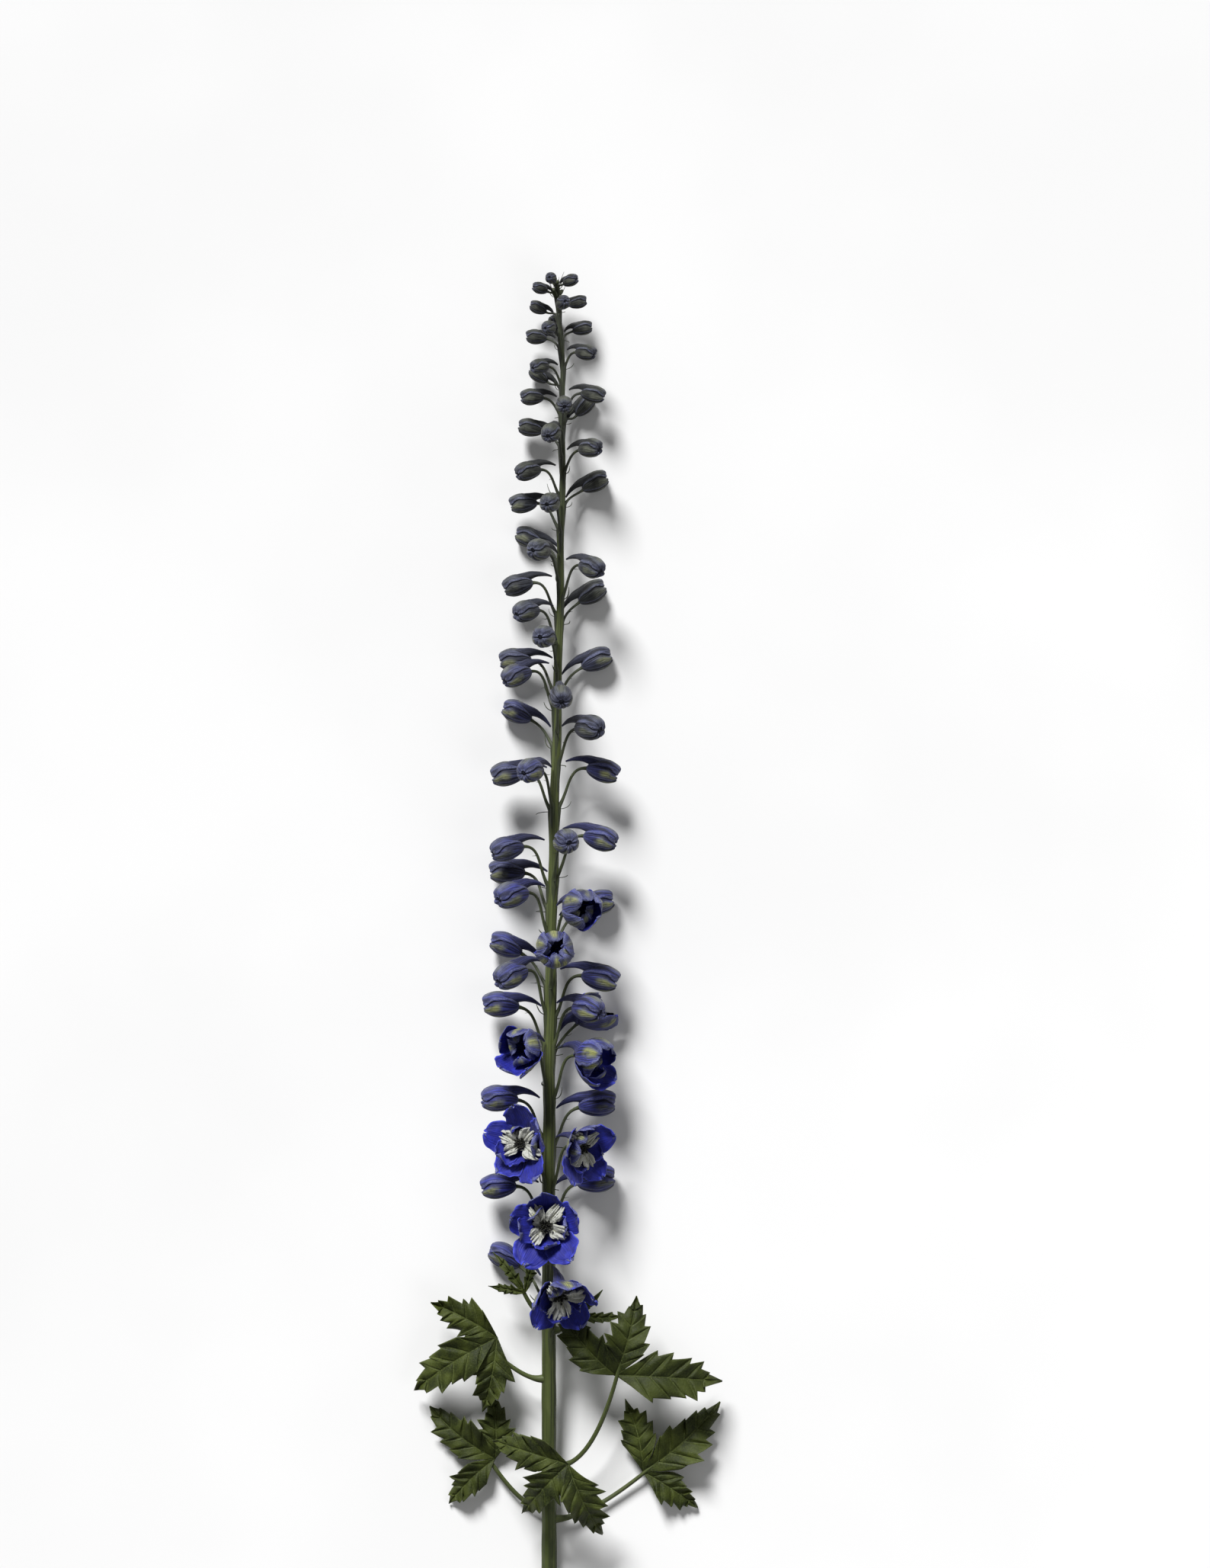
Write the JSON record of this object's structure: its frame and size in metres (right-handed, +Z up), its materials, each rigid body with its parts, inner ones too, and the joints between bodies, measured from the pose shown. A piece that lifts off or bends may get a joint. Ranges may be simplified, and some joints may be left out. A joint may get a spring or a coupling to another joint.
{
  "type": "delphinium flower spike",
  "caption": "Cut delphinium stem lying down: a long spike of closed buds, opening buds and open blue florets with pale centres above toothed leaves.",
  "frame": {"origin": "middle of the footprint, on the surface the flower lies on", "axes": "+Y along the stem from its cut end to the tip, +Z up from the surface, +X across the stem"},
  "size_m": [0.2116, 0.9552, 0.078],
  "materials": {
    "stem": "fleshy green stem with a soft sheen",
    "leaf": "matt green leaf",
    "bud": "matt indigo, downy",
    "sepal": "silky blue",
    "bee": "matt off-white"
  },
  "bodies": {
    "root": {"stem": "stem", "bud_01": "bud", "bud_02": "bud", "bud_03": "bud", "bud_04": "bud", "bud_05": "bud", "bud_06": "bud", "bud_07": "bud", "bud_08": "bud", "bud_09": "bud", "bud_10": "bud", "bud_11": "bud", "bud_12": "bud", "bud_13": "bud", "bud_14": "bud", "bud_15": "bud", "bud_16": "bud", "bud_17": "bud", "bud_18": "bud", "bud_19": "bud", "bud_20": "bud", "bud_21": "bud", "bud_22": "bud", "bud_23": "bud", "bud_24": "bud", "bud_25": "bud", "bud_26": "bud", "bud_27": "bud", "bud_28": "bud", "bud_29": "bud", "bud_30": "bud", "bud_31": "bud", "bud_32": "bud", "bud_33": "bud", "bud_34": "bud", "bud_35": "bud", "bud_36": "bud", "bud_37": "bud", "bud_38": "bud", "bud_39": "bud", "opening_01": "sepal", "opening_02": "sepal", "opening_03": "sepal", "opening_04": "sepal", "opening_05": "sepal", "bloom_01_sepals": "sepal", "bloom_01_bee": "bee", "bloom_02_sepals": "sepal", "bloom_02_bee": "bee", "bloom_03_sepals": "sepal", "bloom_03_bee": "bee", "bloom_04_sepals": "sepal", "bloom_04_bee": "bee", "leaf_01": "leaf", "leaf_02": "leaf", "leaf_03": "leaf", "leaf_04": "leaf", "leaf_05": "leaf", "leaf_06": "leaf", "leaf_07": "leaf"}
  },
  "joints": []
}
